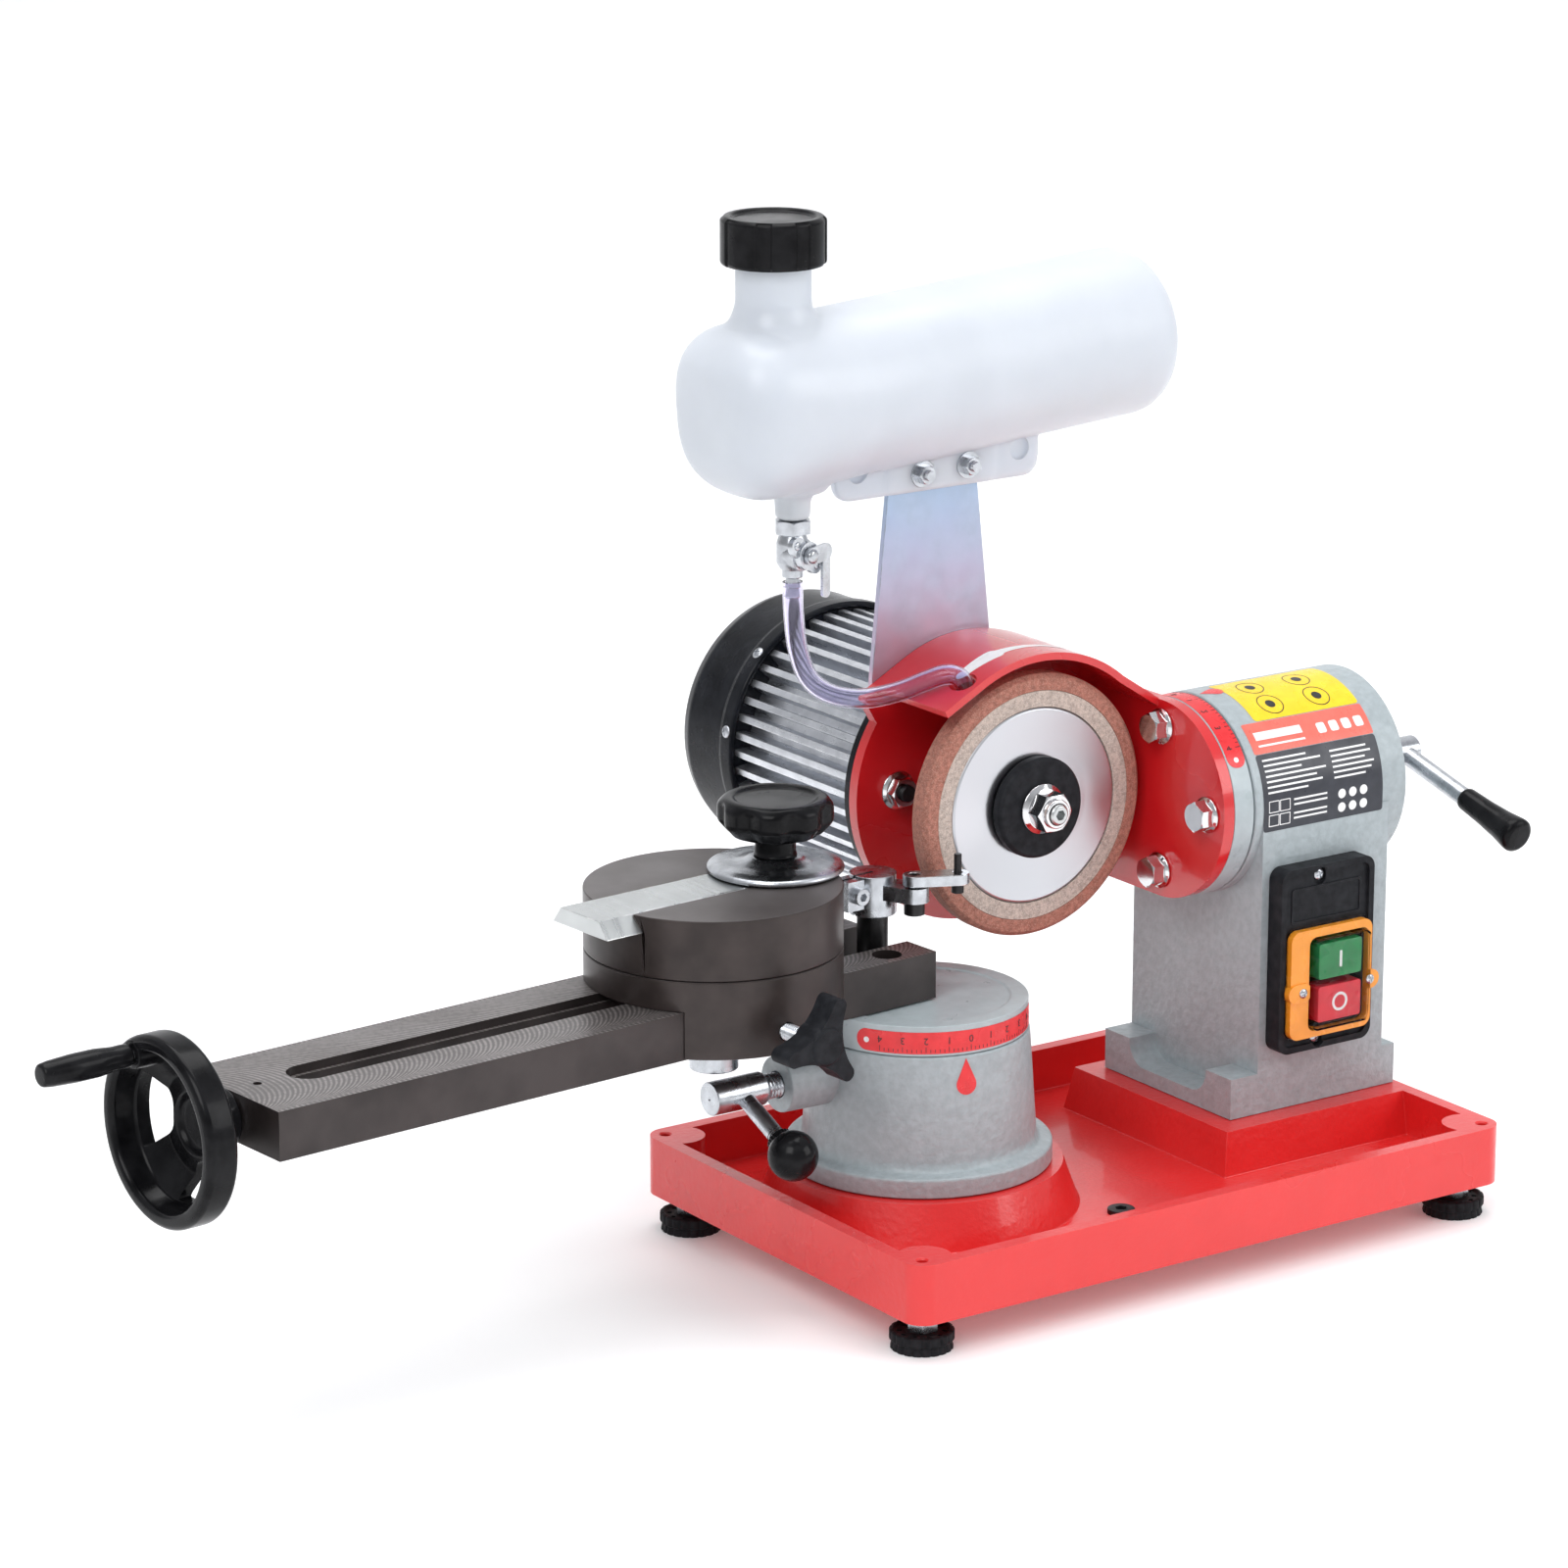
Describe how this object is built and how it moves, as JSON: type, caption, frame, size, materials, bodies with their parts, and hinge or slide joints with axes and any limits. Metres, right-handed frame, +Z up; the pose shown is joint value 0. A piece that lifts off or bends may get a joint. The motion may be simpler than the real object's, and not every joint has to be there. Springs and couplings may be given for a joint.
{
  "type": "wet grinding sharpener",
  "caption": "Bench sharpener for circular-saw blades: a tilting motor head with a grinding wheel, a coolant tank above it and a swivelling screw-fed blade table on a cast tray.",
  "frame": {"origin": "on the floor, under the middle of the machine's bounding box", "axes": "+X from the handwheel to the tilt lever, +Y from the switch side to the motor's fan, +Z up"},
  "size_m": [0.7413, 0.337, 0.477],
  "materials": {
    "red_paint": "gloss red enamel over a cast surface",
    "grey_paint": "satin grey enamel, rough as cast on the sides",
    "black_paint": "semi-gloss black",
    "black_oxide": "blackened steel with ground swirl marks",
    "bright_steel": "ground steel",
    "zinc": "zinc plated",
    "chrome": "polished",
    "galvanised": "galvanised sheet with a faint spangle",
    "aluminium": "satin",
    "brown_abrasive": "fine bonded grit, brown with a beige inner ring",
    "black_plastic": "gloss black",
    "matt_black_plastic": "matt black",
    "yellow_plastic": "satin amber yellow",
    "clear_plastic": "clear flexible plastic",
    "green_plastic": "green with a white bar",
    "red_plastic": "red with a white ring",
    "milky_plastic": "translucent milky polyethylene",
    "rubber": "black foot pad",
    "laminations": "stacked electrical sheet"
  },
  "bodies": {
    "stand": {"base_tray": "red_paint", "swivel_base": "grey_paint", "column": "grey_paint", "switch_plate": "matt_black_plastic", "switch_frame": "yellow_plastic", "switch_cover": "clear_plastic", "switch_body": "matt_black_plastic"},
    "foot_front_left": {"foot_front_left": "rubber"},
    "foot_front_right": {"foot_front_right": "rubber"},
    "foot_rear_left": {"foot_rear_left": "rubber"},
    "foot_rear_right": {"foot_rear_right": "rubber"},
    "base_lock": {"base_lock_handle": "zinc", "base_lock_ball": "black_plastic"},
    "table": {"turntable": "grey_paint", "table_beam": "black_oxide"},
    "leadscrew": {"leadscrew": "bright_steel", "handwheel": "black_plastic"},
    "crank_grip": {"crank_grip": "black_plastic"},
    "carriage": {"carriage_block": "black_oxide", "leadscrew_nut": "zinc"},
    "star_knob": {"star_knob": "black_plastic"},
    "swivel_plate": {"swivel_plate": "black_oxide"},
    "dovetail_bar": {"dovetail_bar": "bright_steel"},
    "clamp_washer": {"clamp_washer": "chrome"},
    "clamp_knob": {"clamp_knob": "black_plastic"},
    "stop_post": {"stop_post": "black_oxide"},
    "stop_clamp": {"stop_clamp": "zinc", "stop_screw": "black_oxide"},
    "stop_link": {"stop_link": "zinc", "stop_pin": "black_oxide"},
    "start_button": {"start_button": "green_plastic"},
    "stop_button": {"stop_button": "red_plastic"},
    "tilt_lever": {"tilt_lever": "zinc", "tilt_lever_grip": "black_plastic"},
    "head": {"head_bracket": "red_paint", "scale_ring": "grey_paint", "tilt_shaft": "bright_steel", "bracket_bolt_top": "chrome", "bracket_bolt_front": "chrome", "bracket_bolt_bottom": "chrome", "bracket_bolt_rear": "chrome", "motor_end_flange": "black_paint", "motor_housing": "aluminium", "stator_core": "laminations", "front_bearing": "bright_steel", "rear_bearing": "bright_steel", "fan_cover": "black_paint", "tank_bracket": "galvanised", "coolant_tank": "milky_plastic", "tap_body": "zinc", "coolant_hose": "clear_plastic"},
    "wheel": {"motor_shaft": "bright_steel", "rotor_core": "laminations", "cooling_fan": "matt_black_plastic", "abrasive_ring": "brown_abrasive", "wheel_core": "aluminium", "wheel_washer": "matt_black_plastic", "wheel_nut": "chrome"},
    "tap_lever": {"tap_lever": "zinc"},
    "tank_cap": {"tank_cap": "black_plastic"}
  },
  "joints": [
    {"name": "wheel_spin", "type": "hinge", "parent": "head", "child": "wheel", "pos_m": [0.14616, -0.0285, 0.1977], "axis": [0, 1, 0], "continuous": true},
    {"name": "head_tilt", "type": "hinge", "parent": "stand", "child": "head", "pos_m": [0.23266, -0.043, 0.1925], "axis": [1, 0, 0], "range_deg": [-8, 40]},
    {"name": "tilt_lever_turn", "type": "hinge", "parent": "stand", "child": "tilt_lever", "pos_m": [0.36216, -0.043, 0.1925], "axis": [1, 0, 0], "range_deg": [-60, 60]},
    {"name": "table_swivel", "type": "hinge", "parent": "stand", "child": "table", "pos_m": [0.07216, -0.0475, 0.109], "axis": [0, 0, 1], "range_deg": [-25, 25]},
    {"name": "base_lock_turn", "type": "hinge", "parent": "stand", "child": "base_lock", "pos_m": [-0.02384, -0.0425, 0.0925], "axis": [1, 0, 0], "range_deg": [-25, 22]},
    {"name": "handwheel_turn", "type": "hinge", "parent": "table", "child": "leadscrew", "pos_m": [-0.31573, -0.05077, 0.1345], "axis": [0.9971, 0.0767, 0], "range_deg": [-1080, 17540]},
    {"name": "carriage_travel", "type": "slide", "parent": "table", "child": "carriage", "axis": [0.9971, 0.0767, 0], "range_m": [-0.195, 0.0121]},
    {"name": "crank_grip_spin", "type": "hinge", "parent": "leadscrew", "child": "crank_grip", "pos_m": [-0.32695, -0.03534, 0.16505], "axis": [0.9971, 0.0767, 0], "continuous": true},
    {"name": "star_knob_turn", "type": "hinge", "parent": "carriage", "child": "star_knob", "pos_m": [-0.02753, -0.10231, 0.1342], "axis": [0.0767, -0.9971, 0], "range_deg": [0, 1080]},
    {"name": "carriage_swivel", "type": "hinge", "parent": "carriage", "child": "swivel_plate", "pos_m": [-0.02878, -0.02869, 0.16], "axis": [0, 0, 1], "range_deg": [-60, 60]},
    {"name": "bar_slide", "type": "slide", "parent": "swivel_plate", "child": "dovetail_bar", "axis": [0.9971, 0.0767, 0], "range_m": [-0.05, 0.015]},
    {"name": "knob_turn", "type": "hinge", "parent": "clamp_washer", "child": "clamp_knob", "pos_m": [0.00681, -0.02595, 0.204], "axis": [0, 0, 1], "range_deg": [0, 720]},
    {"name": "clamp_lift", "type": "slide", "parent": "dovetail_bar", "child": "clamp_washer", "axis": [0, 0, 1], "range_m": [0, 0.0031]},
    {"name": "stop_height", "type": "slide", "parent": "table", "child": "stop_post", "axis": [0, 0, 1], "range_m": [0, 0.008]},
    {"name": "stop_swing", "type": "hinge", "parent": "stop_post", "child": "stop_clamp", "pos_m": [0.06385, -0.02156, 0.167], "axis": [0, 0, 1], "range_deg": [-40, 0]},
    {"name": "stop_link_turn", "type": "hinge", "parent": "stop_clamp", "child": "stop_link", "pos_m": [0.07382, -0.04045, 0.173], "axis": [0, 0, 1], "range_deg": [-60, 8]},
    {"name": "start_press", "type": "slide", "parent": "stand", "child": "start_button", "axis": [0, 1, 0], "range_m": [0, 0.002], "stiffness_N_per_m": 400},
    {"name": "stop_press", "type": "slide", "parent": "stand", "child": "stop_button", "axis": [0, 1, 0], "range_m": [0, 0.002], "stiffness_N_per_m": 400},
    {"name": "tap_turn", "type": "hinge", "parent": "head", "child": "tap_lever", "pos_m": [0.04616, 0.0175, 0.321], "axis": [0.2588, -0.9659, 0], "range_deg": [-90, 0]},
    {"name": "cap_turn", "type": "hinge", "parent": "head", "child": "tank_cap", "pos_m": [0.03566, 0.0175, 0.455], "axis": [0, 0, 1], "range_deg": [0, 720]},
    {"name": "foot_front_left_turn", "type": "hinge", "parent": "stand", "child": "foot_front_left", "pos_m": [-0.00034, -0.1505, 0], "axis": [0, 0, 1], "range_deg": [-360, 360]},
    {"name": "foot_front_right_turn", "type": "hinge", "parent": "stand", "child": "foot_front_right", "pos_m": [0.30866, -0.1505, 0], "axis": [0, 0, 1], "range_deg": [-360, 360]},
    {"name": "foot_rear_left_turn", "type": "hinge", "parent": "stand", "child": "foot_rear_left", "pos_m": [-0.00034, 0.0335, 0], "axis": [0, 0, 1], "range_deg": [-360, 360]},
    {"name": "foot_rear_right_turn", "type": "hinge", "parent": "stand", "child": "foot_rear_right", "pos_m": [0.30866, 0.0335, 0], "axis": [0, 0, 1], "range_deg": [-360, 360]}
  ],
  "couplings": [
    {"joint": "carriage_travel", "follows": "handwheel_turn", "m_per_rad": -0.00063662},
    {"joint": "clamp_lift", "follows": "knob_turn", "m_per_rad": 0.00023873}
  ]
}
